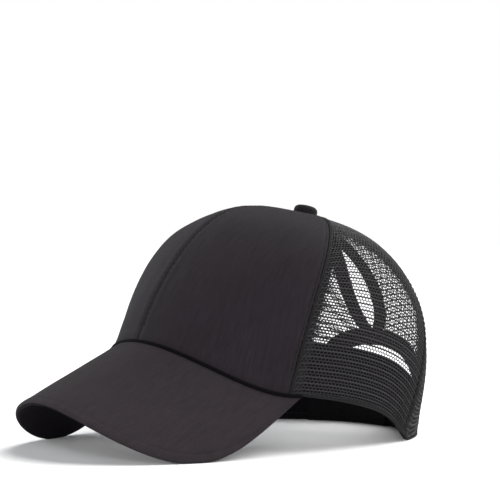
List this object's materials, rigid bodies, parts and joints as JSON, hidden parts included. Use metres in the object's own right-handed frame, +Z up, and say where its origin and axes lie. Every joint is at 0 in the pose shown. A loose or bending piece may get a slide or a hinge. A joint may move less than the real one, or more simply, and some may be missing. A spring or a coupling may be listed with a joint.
{
  "type": "ponytail baseball cap",
  "caption": "Baseball cap with a curved brim, cloth front, net sides and back, a ponytail slit and an arched opening over an adjustable strap.",
  "frame": {"origin": "on the surface that the cap lies on, under the middle of its outline", "axes": "+Z up; brim towards -Y, so +Y is towards the wearer's back; +X towards the wearer's left"},
  "size_m": [0.1688, 0.2502, 0.1382],
  "materials": {
    "front_cloth": "matt",
    "brim_cloth": "matt",
    "brim_underside": "matt",
    "net": "matt",
    "binding": "matt",
    "tape": "matt",
    "sweatband": "matt",
    "strap": "matt",
    "button": "matt"
  },
  "bodies": {
    "root": {"front_panel_left": "front_cloth", "side_net_left": "net", "rear_net_left": "net", "slit_binding_left": "binding", "front_seam_tape_left": "tape", "rear_seam_tape_left": "tape", "strap_left": "strap", "front_panel_right": "front_cloth", "side_net_right": "net", "rear_net_right": "net", "slit_binding_right": "binding", "front_seam_tape_right": "tape", "rear_seam_tape_right": "tape", "strap_right": "strap", "arch_binding": "binding", "sweatband": "sweatband", "brim_upper": "brim_cloth", "brim_under": "brim_underside", "button": "button"}
  },
  "joints": []
}
